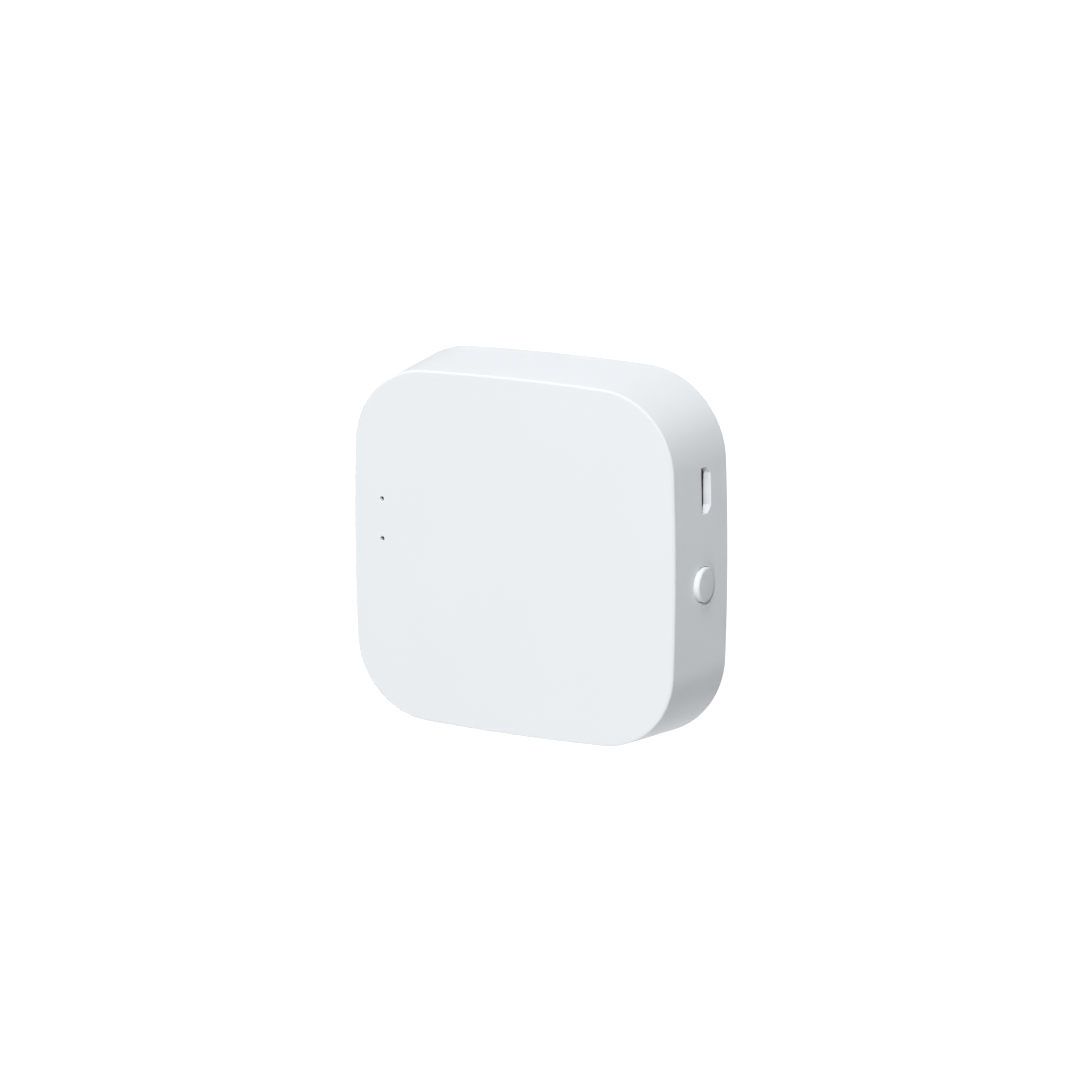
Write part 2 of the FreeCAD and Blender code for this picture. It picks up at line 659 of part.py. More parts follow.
def regulator_leads():
    """The regulator's three leads and its wide heat tab, bent down to the board."""
    length, width, thick = REGULATOR_LEAD
    middle_x, middle_y = REGULATOR_PLACE
    leads = []
    sides = [(1, up, width) for up in row(REGULATOR_LEADS, REGULATOR_PITCH)]
    sides.append((-1, 0, REGULATOR_TAB_WIDTH))
    for side, up, wide in sides:
        edge = middle_x + side * REGULATOR[0] / 2
        rise = REGULATOR_LIFT + REGULATOR[2] / 2
        place = (edge + side * length / 4, middle_y + up)
        upper = box((length / 2, wide, thick), place, BOARD_TOP + rise - thick)
        post_x = edge + side * (length / 2 - thick / 2)
        post = box((thick, wide, rise), (post_x, middle_y + up), BOARD_TOP)
        toe_x = edge + side * (3 * length / 4 - thick / 2)
        toe = box((length / 2 + thick, wide, thick), (toe_x, middle_y + up), BOARD_TOP)
        leads.append(joined([upper, post, toe]))
    return Part.makeCompound(leads)


def electrolytic_base():
    """The black plastic foot of the big capacitor, with two cut corners."""
    side, height = CAPACITOR_BASE
    base = box((side, side, height), CAPACITOR_PLACE, BOARD_TOP)
    cut = [
        e
        for e in base.Edges
        if abs(e.tangentAt(e.FirstParameter).z) > 0.5 and e.CenterOfMass.x > CAPACITOR_PLACE[0]
    ]
    return base.makeChamfer(CAPACITOR_BASE_CHAMFER, cut)


def electrolytic_can():
    """The big capacitor's aluminium can, with the rolled groove near its foot."""
    low = BOARD_TOP + CAPACITOR_BASE[1]
    foot = V(CAPACITOR_PLACE[0], CAPACITOR_PLACE[1], low)
    can = rod(CAPACITOR_D, CAPACITOR_H - CAPACITOR_BASE[1], foot)
    top = [e for e in can.Edges if e.Closed and e.CenterOfMass.z > BOARD_TOP + CAPACITOR_H - TOLERANCE]
    can = can.makeFillet(CAPACITOR_GROOVE[1], top)
    height, radius = CAPACITOR_GROOVE
    groove = Part.makeTorus(CAPACITOR_D / 2 + radius / 2, radius, foot + Z * height, Z)
    return can.cut(groove)


def electrolytic_leads():
    """The big capacitor's two flat feet, out from under its base."""
    length, width, thick = CAPACITOR_LEAD
    feet = []
    for side in (-1, 1):
        edge = CAPACITOR_PLACE[1] + side * (CAPACITOR_BASE[0] + length) / 2
        feet.append(box((width, length, thick), (CAPACITOR_PLACE[0], edge), BOARD_TOP))
    return Part.makeCompound(feet)


def surge_diode_body():
    """The surge diode's black body."""
    return box(DIODE, DIODE_PLACE, BOARD_TOP)


def surge_diode_leads():
    """The surge diode's two leads, folded down its ends."""
    thick, width, _ = DIODE_LEAD
    leads = []
    for side in (-1, 1):
        edge = DIODE_PLACE[0] + side * (DIODE[0] + thick) / 2
        leads.append(box((thick, width, DIODE[2] / 2), (edge, DIODE_PLACE[1]), BOARD_TOP))
    return Part.makeCompound(leads)


def power_fuse():
    """The resettable fuse: a flat chip with thicker soldered ends."""
    length, width, height = FUSE
    body = box((length, width, height - FUSE_CAP / 4), FUSE_PLACE, BOARD_TOP)
    ends = []
    for side in (-1, 1):
        middle = (FUSE_PLACE[0] + side * (length - FUSE_CAP) / 2, FUSE_PLACE[1])
        ends.append(box((FUSE_CAP, width, height), middle, BOARD_TOP))
    return joined([body] + ends)


def chips(size, places):
    """A group of like chips on the main board."""
    return Part.makeCompound([box(size, place, BOARD_TOP) for place in places])


def light_resistors():
    """The places of the resistors that feed the status lights."""
    return tuple((LIGHT_X + LIGHT_RESISTOR_STEP, up) for up in LIGHT_UP)


def module_nodes(name, size, place, antenna_side):
    """The pieces that both radio modules have, by node name."""
    return {
        f"{name}_module_board": module_board(size, place),
        f"{name}_shield_can": shield_can(size, place, antenna_side),
        f"{name}_antenna": antenna(size, place, antenna_side),
        f"{name}_solder_joints": solder_joints(size, place, antenna_side),
    }


def all_nodes():
    """Every node's shape, by name."""
    zigbee = (ZIGBEE_BOARD, ZIGBEE_PLACE, -1)
    wifi = (WIFI_BOARD, WIFI_PLACE, 1)
    nodes = {
        "front_housing": front_housing(),
        "base_plate": base_plate(),
        "main_board": main_board(),
        "board_screws": board_screws(),
        "usb_shell": usb_shell(),
        "usb_tongue": usb_tongue(),
        "usb_contacts": usb_contacts(),
        "button_cap": button_cap(),
        "switch_body": switch_body(),
        "switch_frame": switch_frame(),
        "switch_plunger": switch_plunger(),
        "switch_dome": switch_dome(),
        "switch_terminals": switch_terminals(),
        "light_shield": light_shield(),
        "upper_led_base": led_base(LIGHT_UP[0]),
        "upper_led_lens": led_lens(LIGHT_UP[0]),
        "lower_led_base": led_base(LIGHT_UP[1]),
        "lower_led_lens": led_lens(LIGHT_UP[1]),
        "zigbee_radio_chip": chip(RADIO_CHIP, *zigbee, ZIGBEE_CHIP_SHIFT),
        "zigbee_crystal": chip(CRYSTAL, *zigbee, ZIGBEE_CRYSTAL_SHIFT),
        "wifi_processor_chip": chip(RADIO_CHIP, *wifi, WIFI_CHIP_SHIFT),
        "wifi_flash_chip": chip(FLASH_CHIP, *wifi, WIFI_FLASH_SHIFT),
        "wifi_crystal": chip(CRYSTAL, *wifi, WIFI_CRYSTAL_SHIFT),
        "regulator_body": regulator_body(),
        "regulator_leads": regulator_leads(),
        "electrolytic_base": electrolytic_base(),
        "electrolytic_can": electrolytic_can(),
        "electrolytic_leads": electrolytic_leads(),
        "surge_diode_body": surge_diode_body(),
        "surge_diode_leads": surge_diode_leads(),
        "power_fuse": power_fuse(),
        "ceramic_capacitors": chips(CERAMIC, CERAMIC_PLACES),
        "resistors": chips(RESISTOR, RESISTOR_PLACES + light_resistors()),
    }
    nodes.update(module_nodes("zigbee", *zigbee))
    nodes.update(module_nodes("wifi", *wifi))
    return nodes


def main():
    """Writes each node to its own file."""
    os.makedirs("parts", exist_ok=True)
    for name, shape in all_nodes().items():
        shape.exportStep(f"parts/{name}.step")
        print(name, len(shape.Solids), "solids", round(shape.Volume, 2), "mm3", shape.isValid())


main()
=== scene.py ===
"""Looks of a white smart-home hub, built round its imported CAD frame.

Everything is in metres in the CAD's frame: the hub lies on its back, its front face looks up along
+Z, the side with the socket and the button looks along +X, and the side that is up in use along +Y.
"""

import json
import logging
import math
from dataclasses import dataclass, field
from enum import Enum
from typing import Any, Sequence

import bmesh
import bpy
from mathutils import Matrix, Vector


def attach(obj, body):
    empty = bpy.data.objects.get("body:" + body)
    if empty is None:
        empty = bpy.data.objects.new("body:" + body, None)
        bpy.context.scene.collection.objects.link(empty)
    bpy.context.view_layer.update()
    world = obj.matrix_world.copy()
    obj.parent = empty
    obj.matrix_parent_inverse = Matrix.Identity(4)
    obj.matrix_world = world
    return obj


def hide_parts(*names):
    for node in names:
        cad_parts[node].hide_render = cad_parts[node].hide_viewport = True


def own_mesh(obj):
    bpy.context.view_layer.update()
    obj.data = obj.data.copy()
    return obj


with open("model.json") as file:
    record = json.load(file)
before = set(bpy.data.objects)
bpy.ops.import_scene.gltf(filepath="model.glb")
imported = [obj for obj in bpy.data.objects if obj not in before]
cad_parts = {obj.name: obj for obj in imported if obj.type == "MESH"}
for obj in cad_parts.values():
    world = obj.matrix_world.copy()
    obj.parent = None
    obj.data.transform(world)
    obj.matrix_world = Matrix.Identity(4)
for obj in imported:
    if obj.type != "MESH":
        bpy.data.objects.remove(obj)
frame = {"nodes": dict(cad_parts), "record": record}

LOG = logging.getLogger("hub")
MM = 0.001
MERGE = 1e-7
WELD = 0.01 * MM
EDGE_STEPS = 8
RECTANGLE_STEPS = 4
SHARPEST_REACH = 0.5
CUT_THROUGH = 4
SMOOTH_ANGLE = math.radians(35.0)
FACE_AREA_WEIGHT = 80

Piece = bpy.types.Object
Pair = tuple[float, float]
Point = tuple[float, float]
Colour = tuple[float, float, float]


class Body(Enum):
    """The CAD bodies that pieces ride on."""

    HOUSING = "housing"
    BUTTON = "button"


class Axis(Enum):
    """Which way a stack of outlines grows."""

    ALONG_X = "x"
    ALONG_Z = "z"

    def place(self, u: float, v: float, w: float) -> Vector:
        """The point that is (u, v) in the outline's plane and w along the axis."""
        return Vector((w, u, v)) if self is Axis.ALONG_X else Vector((u, v, w))


# Node trees


class Value:
    """A number in a node tree, to which Python's operators add Math nodes."""

    def __init__(self, graph: "Graph", socket: bpy.types.NodeSocket) -> None:
        """Keeps the tree's graph and the socket that gives the number."""
        self.graph = graph
        self.socket = socket

    def _math(self, operation: str, first: Any, second: Any) -> "Value":
        """Adds one Math node for two values and gives its result."""
        node = self.graph.add("ShaderNodeMath", {"operation": operation}, {0: first, 1: second})
        return Value(self.graph, node.outputs[0])

    def __add__(self, other: Any) -> "Value":
        """Adds another value."""
        return self._math("ADD", self, other)

    __radd__ = __add__

    def __sub__(self, other: Any) -> "Value":
        """Takes another value away."""
        return self._math("SUBTRACT", self, other)

    def __rsub__(self, other: Any) -> "Value":
        """Takes this value away from another."""
        return self._math("SUBTRACT", other, self)

    def __mul__(self, other: Any) -> "Value":
        """Multiplies by another value."""
        return self._math("MULTIPLY", self, other)

    __rmul__ = __mul__

    def __rtruediv__(self, other: Any) -> "Value":
        """Divides another value by this one."""
        return self._math("DIVIDE", other, self)

    def clamped(self) -> "Value":
        """This value, kept between zero and one."""
        return self._math("MINIMUM", self._math("MAXIMUM", self, 0.0), 1.0)

    def above(self, threshold: float, steepness: float) -> "Value":
        """Zero below a threshold, and one from a little above it."""
        return ((self - threshold) * steepness).clamped()

    def swing(self, reach: float) -> "Value":
        """This value, from zero to one, as a change of up to half of reach either way."""
        return reach * (self - 0.5)


class Graph:
    """Adds nodes to one node tree."""

    def __init__(self, tree: bpy.types.NodeTree) -> None:
        """Keeps the tree."""
        self.tree = tree

    def add(
        self,
        kind: str,
        settings: dict[str, Any] | None = None,
        sockets: dict[int | str, Any] | None = None,
    ) -> bpy.types.Node:
        """Adds one node.

        Args:
            kind: the node's type.
            settings: its own settings, which are set first.
            sockets: values or links of its inputs, by number, name or identifier.
        Returns:
            The node.
        """
        node = self.tree.nodes.new(kind)
        for name, value in (settings or {}).items():
            setattr(node, name, value)
        for key, value in (sockets or {}).items():
            self.feed(self._socket(node.inputs, key), value)
        return node

    def step(
        self, kind: str, sockets: dict[str, Any], settings: dict[str, Any] | None = None
    ) -> bpy.types.NodeSocket:
        """Adds one node and gives its first output."""
        return self.add(kind, settings, sockets).outputs[0]

    def feed(self, target: bpy.types.NodeSocket, value: Any) -> None:
        """Links a socket or a value to an input, or sets the input to a plain value."""
        source = value.socket if isinstance(value, Value) else value
        if isinstance(source, bpy.types.NodeSocket):
            self.tree.links.new(source, target)
        else:
            target.default_value = source

    def value(self, node: bpy.types.Node, key: int | str = 0) -> Value:
        """One of a node's outputs, as a number for Python's operators."""
        return Value(self, self._socket(node.outputs, key))

    @staticmethod
    def _socket(sockets: Any, key: int | str) -> bpy.types.NodeSocket:
        """Finds a socket by its number, its identifier or its name."""
        if isinstance(key, int):
            return sockets[key]
        by_identifier = [s for s in sockets if s.identifier == key]
        return (by_identifier or [s for s in sockets if s.name == key])[0]


class ShaderGraph(Graph):
    """A material's nodes: the shader, and what varies over the surface."""

    def __init__(self, material: bpy.types.Material) -> None:
        """Starts the material's tree with its shader and its output."""
        material.use_nodes = True
        material.node_tree.nodes.clear()
        super().__init__(material.node_tree)
        self.shader = self.add("ShaderNodeBsdfPrincipled")
        self.add("ShaderNodeOutputMaterial", sockets={"Surface": self.shader.outputs[0]})
        self.place = self.add("ShaderNodeTexCoord").outputs["Object"]

    def noise(self, size: float, detail: float, stretch: Sequence[float] = (1, 1, 1)) -> Value:
        """A soft random value from zero to one.

        Args:
            size: how large its blotches are, in metres.
            detail: how much finer detail it has.
            stretch: how much closer the blotches are along each axis.
        Returns:
            The value.
        """
        place = self.place
        if stretch != (1, 1, 1):
            place = self.step("ShaderNodeMapping", {"Vector": place, "Scale": stretch})
        sockets = {"Vector": place, "Scale": 1.0 / size, "Detail": detail}
        return self.value(self.add("ShaderNodeTexNoise", sockets=sockets), "Fac")

    def cells(self, size: float) -> Value:
        """The distance to the nearest of many random points, in cells of this size."""
        sockets = {"Vector": self.place, "Scale": 1.0 / size}
        return self.value(self.add("ShaderNodeTexVoronoi", sockets=sockets), "Distance")

    def mixed(self, factor: Any, first: Colour | Any, second: Colour | Any) -> Any:
        """A colour from the first, where the factor is zero, to the second, where it is one."""
        colours = [(*c, 1.0) if isinstance(c, tuple) else c for c in (first, second)]
        sockets = {"Factor_Float": factor, "A_Color": colours[0], "B_Color": colours[1]}
        node = self.add("ShaderNodeMix", {"data_type": "RGBA"}, sockets)
        return self._socket(node.outputs, "Result_Color")

    def relief(self, height: Value, depth: float) -> Any:
        """The normal of a surface that height raises by up to depth metres."""
        return self.step("ShaderNodeBump", {"Height": height, "Distance": depth})

    def surface(self, colour: Any, roughness: Any, normal: Any = None, **fixed: Any) -> None:
        """Links what varies to the shader and sets what doesn't.

        Args:
            colour: the base colour's socket.
            roughness: the roughness.
            normal: the normal's socket, where the surface has relief.
            fixed: the shader's other values, by name, with _ for a space.
        """
        links = {"Base Color": colour, "Roughness": roughness}
        if normal is not None:
            links["Normal"] = normal
        links.update({name.replace("_", " "): value for name, value in fixed.items()})
        for name, value in links.items():
            self.feed(self._socket(self.shader.inputs, name), value)


# Finishes


def shade(colour: Colour, factor: float) -> Colour:
    """A colour made lighter or darker by a factor."""
    return tuple(min(1.0, channel * factor) for channel in colour)


@dataclass(frozen=True)
class Finish:
    """What a surface looks like. Each kind of finish dresses the material in its own way."""

    name: str
    colour: Colour
    roughness: float

    def material(self) -> bpy.types.Material:
        """The finish's material, made once."""
        label = f"{self.name}_finish"
        made = bpy.data.materials.get(label)
        if made is None:
            made = bpy.data.materials.new(label)
            made.diffuse_color = (*self.colour, 1.0)
            self.dress(ShaderGraph(made))
        return made

    def dress(self, graph: ShaderGraph) -> None:
        """Adds the finish's nodes."""
        raise NotImplementedError


@dataclass(frozen=True)
class MouldedPlastic(Finish):
    """Injection-moulded plastic with the fine grain of its mould."""

    grain: float = 0.22 * MM
    grain_depth: float = 0.0016 * MM
    flow: float = 14.0 * MM
    mottle: float = 0.012
    shine: float = 0.3

    def dress(self, graph: ShaderGraph) -> None:
        """Faint flow marks in the colour, and a fine grain in gloss and relief."""
        grain = graph.noise(self.grain, detail=3.0)
        flow = graph.noise(self.flow, detail=1.0, stretch=(1.0, 0.6, 1.0))
        tint = (0.7 * flow + 0.3 * grain).clamped()
        light, dark = shade(self.colour, 1 + self.mottle), shade(self.colour, 1 - self.mottle)
        graph.surface(
            colour=graph.mixed(tint, dark, light),
            roughness=self.roughness + grain.swing(0.05) + flow.swing(0.04),
            normal=graph.relief(grain, self.grain_depth),
            Specular_IOR_Level=self.shine,
        )


@dataclass(frozen=True)
class Metal(Finish):
    """Rolled or plated metal, with drawing lines, dull spots and a little tarnish."""

    line: float = 0.05 * MM
    tarnish: float = 0.12

    def dress(self, graph: ShaderGraph) -> None:
        """Fine lines along X, and blotches that are duller and darker."""
        lines = graph.noise(self.line, detail=2.0, stretch=(0.05, 1.0, 1.0))
        blotch = graph.noise(40 * self.line, detail=3.0)
        graph.surface(
            colour=graph.mixed(
                (self.tarnish * blotch).clamped(), self.colour, shade(self.colour, 0.55)
            ),
            roughness=self.roughness + blotch.swing(0.1) + lines.swing(0.08),
            normal=graph.relief(lines, 0.02 * self.line),
            Metallic=1.0,
        )


@dataclass(frozen=True)
class SolderMask(Finish):
    """A circuit board's lacquer over its copper tracks, with the glass weave just showing."""

    track: float = 1.1 * MM
    weave: float = 0.5 * MM
    copper: float = 0.03 * MM

    def dress(self, graph: ShaderGraph) -> None:
        """Lighter and raised where copper lies under the lacquer."""
        copper = graph.cells(self.track).above(threshold=0.42, steepness=12.0)
        pour = graph.noise(9 * self.track, detail=0.0).above(threshold=0.46, steepness=30.0)
        raised = copper * pour
        weave = graph.noise(self.weave, detail=1.0, stretch=(1.0, 0.3, 1.0))
        lit = graph.mixed(raised, self.colour, shade(self.colour, 1.55))
        graph.surface(
            colour=graph.mixed(0.12 * weave, lit, shade(self.colour, 0.5)),
            roughness=self.roughness + weave.swing(0.12),
            normal=graph.relief(raised + 0.15 * weave, self.copper),
            Specular_IOR_Level=0.55,
        )


@dataclass(frozen=True)
class Speckled(Finish):
    """Fired ceramic or filled epoxy, with specks of its filler."""

    speck: float = 0.12 * MM
    contrast: float = 0.25
    depth: float = 0.004 * MM

    def dress(self, graph: ShaderGraph) -> None:
        """Small light and dark specks, each also a little proud or sunk."""
        speck = graph.noise(self.speck, detail=4.0)
        mask = ((speck - 0.5) * 3.0 + 0.5).clamped()
        dark, light = shade(self.colour, 1 - self.contrast), shade(self.colour, 1 + self.contrast)
        graph.surface(
            colour=graph.mixed(mask, dark, light),
            roughness=self.roughness + speck.swing(0.15),
            normal=graph.relief(speck, self.depth),
        )


@dataclass(frozen=True)
class ClearEpoxy(Finish):
    """A status light's clear lens, a little cloudy."""

    cloud: float = 0.3 * MM

    def dress(self, graph: ShaderGraph) -> None:
        """Cloudier and rougher in soft blotches."""
        cloud = graph.noise(self.cloud, detail=2.0)
        graph.surface(
            colour=graph.mixed(cloud, self.colour, shade(self.colour, 0.9)),
            roughness=self.roughness + 0.1 * cloud,
            Transmission_Weight=0.8,
            IOR=1.5,
        )


WHITE: Colour = (0.775, 0.806, 0.832)

FINISHES: dict[str, Finish] = {
    finish.name: finish
    for finish in (
        MouldedPlastic("housing_plastic", WHITE, 0.42),
        MouldedPlastic("base_plastic", shade(WHITE, 0.985), 0.58, 0.35 * MM, 0.006 * MM),
        MouldedPlastic("button_plastic", WHITE, 0.38, grain=0.18 * MM),
        MouldedPlastic("plunger_plastic", (0.70, 0.70, 0.66), 0.45),
        SolderMask("main_board_laminate", (0.012, 0.115, 0.045), 0.32),
        SolderMask("module_laminate", (0.012, 0.014, 0.018), 0.36, track=0.8 * MM),
        MouldedPlastic("black_plastic", (0.016, 0.016, 0.017), 0.5, mottle=0.12),
        Speckled("chip_black", (0.018, 0.018, 0.020), 0.62),
        Speckled("resistor_black", (0.016, 0.016, 0.019), 0.3, contrast=0.15),
        Speckled("ceramic_tan", (0.42, 0.27, 0.14), 0.55),
        Speckled("fuse_green", (0.02, 0.13, 0.06), 0.4, contrast=0.15),
        MouldedPlastic("led_white", (0.72, 0.72, 0.69), 0.5),
        ClearEpoxy("led_clear", (0.86, 0.88, 0.86), 0.12),
        MouldedPlastic("black_rubber", (0.010, 0.010, 0.011), 0.8, 0.5 * MM, 0.02 * MM, mottle=0.2),
        Metal("socket_steel", (0.50, 0.49, 0.47), 0.34),
        Metal("can_steel", (0.56, 0.56, 0.54), 0.38, line=0.08 * MM),
        Metal("spring_steel", (0.45, 0.45, 0.46), 0.25),
        Metal("screw_steel", (0.42, 0.43, 0.46), 0.33),
        Metal("tinned_lead", (0.60, 0.60, 0.60), 0.4),
        Metal("solder", (0.58, 0.59, 0.61), 0.24, tarnish=0.2),
        Metal("can_aluminium", (0.66, 0.67, 0.68), 0.36),
        Metal("gold_plate", (0.75, 0.50, 0.16), 0.28, tarnish=0.08),
        Metal("bare_copper", (0.72, 0.36, 0.20), 0.4, tarnish=0.25),
    )
}


# Meshes


def rounded_path(
    corners: Sequence[tuple[float, float, float]], closed: bool, steps: int
) -> list[Point]:
    """A flat path whose corners are rounded, each by its own radius.

    Args:
        corners: each corner's two coordinates and its radius.
        closed: whether the last corner joins the first.
        steps: how many short runs make a rounded corner.
    Returns:
        The path's points.
    """
    path: list[Point] = []
    last = len(corners) - 1
    for i, (x, y, radius) in enumerate(corners):
        here = Vector((x, y))
        if radius <= 0 or (not closed and i in (0, last)):
            path.append((x, y))
            continue
        back = (Vector(corners[i - 1][:2]) - here).normalized()
        ahead = (Vector(corners[(i + 1) % len(corners)][:2]) - here).normalized()
        half = back.angle(ahead) / 2
        middle = here + (back + ahead).normalized() * (radius / math.sin(half))
        start = here + back * (radius / math.tan(half)) - middle
        end = here + ahead * (radius / math.tan(half)) - middle
        turn = math.atan2(start.x * end.y - start.y * end.x, start.dot(end))
        first = math.atan2(start.y, start.x)
        for step in range(steps + 1):
            angle = first + turn * step / steps
            path.append((middle.x + radius * math.cos(angle), middle.y + radius * math.sin(angle)))
    return path


def round_path(radius: float, steps: int) -> list[Point]:
    """A circle's points, anticlockwise."""
    turns = [2 * math.pi * i / steps for i in range(steps)]
    return [(radius * math.cos(a), radius * math.sin(a)) for a in turns]


def grown(path: Sequence[Point], by: float) -> list[Point]:
    """A closed anticlockwise path moved outwards, or inwards where by is below zero."""
    result = []
    for i, here in enumerate(path):
        before, after = Vector(path[i - 1]), Vector(path[(i + 1) % len(path)])
        first = (Vector(here) - before).normalized()
        second = (after - Vector(here)).normalized()
        outward = Vector((first.y + second.y, -first.x - second.x)).normalized()
        reach = by / max(SHARPEST_REACH, outward.dot(Vector((first.y, -first.x))))
        result.append((here[0] + outward.x * reach, here[1] + outward.y * reach))
    return result


def rectangle(width: float, height: float, radius: float) -> list[Point]:
    """A rounded rectangle about the middle, anticlockwise."""
    x, y = width / 2, height / 2
    corners = [(-x, -y, radius), (x, -y, radius), (x, y, radius), (-x, y, radius)]
    return rounded_path(corners, True, RECTANGLE_STEPS)


class Mould:
    """Gathers the faces of one mesh."""

    def __init__(self) -> None:
        """Starts empty."""
        self.mesh = bmesh.new()

    def loft(self, loops: Sequence[Sequence[Vector]]) -> "Mould":
        """Adds a skin over loops of equal length, with a face over the first and the last.

        Args:
            loops: the loops' points, in order.
        Returns:
            This mould.
        """
        rings = [[self.mesh.verts.new(point) for point in loop] for loop in loops]
        for low, high in zip(rings, rings[1:]):
            for i in range(len(low)):
                j = (i + 1) % len(low)
                self.mesh.faces.new((low[i], low[j], high[j], high[i]))
        self.mesh.faces.new(list(reversed(rings[0])))
        self.mesh.faces.new(rings[-1])
        return self

    def stack(
        self, path: Sequence[Point], levels: Sequence[Point], axis: Axis, at: Vector
    ) -> "Mould":
        """Adds a solid whose outline grows and shrinks along an axis.

        Args:
            path: the outline, closed and anticlockwise, in its own plane.
            levels: how much the outline is grown, and how far along the axis, level by level.
            axis: which way the levels go.
            at: where the outline's own middle is.
        Returns:
            This mould.
        """
        loops = []
        for growth, along in levels:
            loops.append([at + axis.place(u, v, along) for u, v in grown(path, growth)])
        return self.loft(loops)

    def turned(self, profile: Sequence[Point], axis: Axis, at: Vector, steps: int) -> "Mould":
        """Adds a solid of revolution.

        Args:
            profile: each level's radius and its place along the axis.
            axis: the axis it is turned about.
            at: where the axis starts.
            steps: how many sides a turn has.
        Returns:
            This mould.
        """
        loops = []
        for radius, along in profile:
            loops.append([at + axis.place(u, v, along) for u, v in round_path(radius, steps)])
        return self.loft(loops)

    def piece(self, name: str) -> Piece:
        """Makes the gathered faces an object, with every face pointing outwards."""
        bmesh.ops.remove_doubles(self.mesh, verts=self.mesh.verts, dist=MERGE)
        bmesh.ops.recalc_face_normals(self.mesh, faces=self.mesh.faces)
        data = bpy.data.meshes.new(name)
        self.mesh.to_mesh(data)
        self.mesh.free()
        return linked(name, data)


def linked(name: str, data: bpy.types.Mesh) -> Piece:
    """An object with this mesh, in the scene."""
    piece = bpy.data.objects.new(name, data)
    bpy.context.scene.collection.objects.link(piece)
    return piece


def settled(piece: Piece) -> Piece:
    """Turns a piece's modifiers into a plain mesh."""
    view = bpy.context.evaluated_depsgraph_get()
    data = bpy.data.meshes.new_from_object(
        piece.evaluated_get(view), preserve_all_data_layers=True, depsgraph=view
    )
    piece.modifiers.clear()
    piece.data = data
    return piece


def smoothed(piece: Piece) -> Piece:
    """Shades a piece smooth, but for its sharp edges, with its flats kept flat."""
    piece.data.shade_smooth()
    piece.data.set_sharp_from_angle(angle=SMOOTH_ANGLE)
    weight = piece.modifiers.new("weight", "WEIGHTED_NORMAL")
    weight.keep_sharp = True
    weight.weight = FACE_AREA_WEIGHT
    return settled(piece)


def carved(piece: Piece, cutter: Piece) -> Piece:
    """Cuts one shape out of a piece and removes the cutter."""
    cut = piece.modifiers.new("cut", "BOOLEAN")
    cut.operation = "DIFFERENCE"
    cut.solver = "EXACT"
    cut.object = cutter
    settled(piece)
    bpy.data.objects.remove(cutter)
    return piece


def show(
    piece: Piece, slot: str, body: Body = Body.HOUSING, stands_for: Sequence[str] = ()
) -> Piece:
    """Dresses a finished piece and ties it to the frame.

    Args:
        piece: the piece, in place.
        slot: the record's material slot that it takes its finish from.
        body: the CAD body that it rides on.
        stands_for: the CAD nodes that it replaces.
    Returns:
        The piece.
    """
    piece.data.materials.clear()
    piece.data.materials.append(FINISHES[slot].material())
    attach(piece, body.value)
    if stands_for:
        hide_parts(*stands_for)
    LOG.info("%s: %d faces, %s, on %s", piece.name, len(piece.data.polygons), slot, body.value)
    return piece


# Geometry node trees


class TreeInput(Enum):
    """The kinds of input that a geometry tree has, and the kind of its output."""

    GEOMETRY = "NodeSocketGeometry"
    LENGTH = "NodeSocketFloat"
    COUNT = "NodeSocketInt"
    MATERIAL = "NodeSocketMaterial"


class GeometryTree(Graph):
    """A geometry node tree with named inputs, which ends in real meshes with a material."""

    def __init__(self, name: str, inputs: dict[str, TreeInput]) -> None:
        """Starts the tree.

        Args:
            name: the tree's name.
            inputs: its inputs besides the geometry and the material.
        """
        tree = bpy.data.node_groups.new(name, "GeometryNodeTree")
        super().__init__(tree)
        shape = {"Geometry": TreeInput.GEOMETRY}
        ends = {"INPUT": {**shape, **inputs, "Material": TreeInput.MATERIAL}, "OUTPUT": shape}
        for end, kinds in ends.items():
            for label, kind in kinds.items():
                tree.interface.new_socket(name=label, in_out=end, socket_type=kind.value)
        self.source = self.add("NodeGroupInput")

    def given(self, label: str) -> Value:
        """One of the tree's inputs."""
        return Value(self, self.source.outputs[label])

    def ring(self, geometry: Any, count: Any, first: Any) -> Any:
        """Copies geometry evenly round the Z axis.

        Args:
            geometry: what is copied.
            count: how many copies there are.
            first: the angle that the first copy is turned by.
        Returns:
            The copies' socket.
        """
        points = self.step("GeometryNodePoints", {"Count": count})
        index = self.value(self.add("GeometryNodeInputIndex"))
        turn = {"Axis": (0, 0, 1), "Angle": first + index * (2 * math.pi / count)}
        rotation = self.step("FunctionNodeAxisAngleToRotation", turn)
        sockets = {"Points": points, "Instance": geometry, "Rotation": rotation}
        return self.step("GeometryNodeInstanceOnPoints", sockets)

    def finish(self, geometry: bpy.types.NodeSocket) -> None:
        """Ends the tree: instances are made real and take the material."""
        real = self.step("GeometryNodeRealizeInstances", {"Geometry": geometry})
        sockets = {"Geometry": real, "Material": self.given("Material")}
        dressed = self.step("GeometryNodeSetMaterial", sockets)
        self.add("NodeGroupOutput", sockets={"Geometry": dressed})

    def run(self, piece: Piece, values: dict[str, Any]) -> Piece:
        """Applies the tree to a piece.

        Args:
            piece: the object whose mesh is the tree's geometry.
            values: the inputs' values, by name.
        Returns:
            The piece, with the result as a plain mesh.
        """
        identifiers = {
            item.name: item.identifier
            for item in self.tree.interface.items_tree
            if item.in_out == "INPUT"
        }
        modifier = piece.modifiers.new(self.tree.name, "NODES")
        modifier.node_group = self.tree
        for label, value in values.items():
            modifier[identifiers[label]] = value
        return settled(piece)


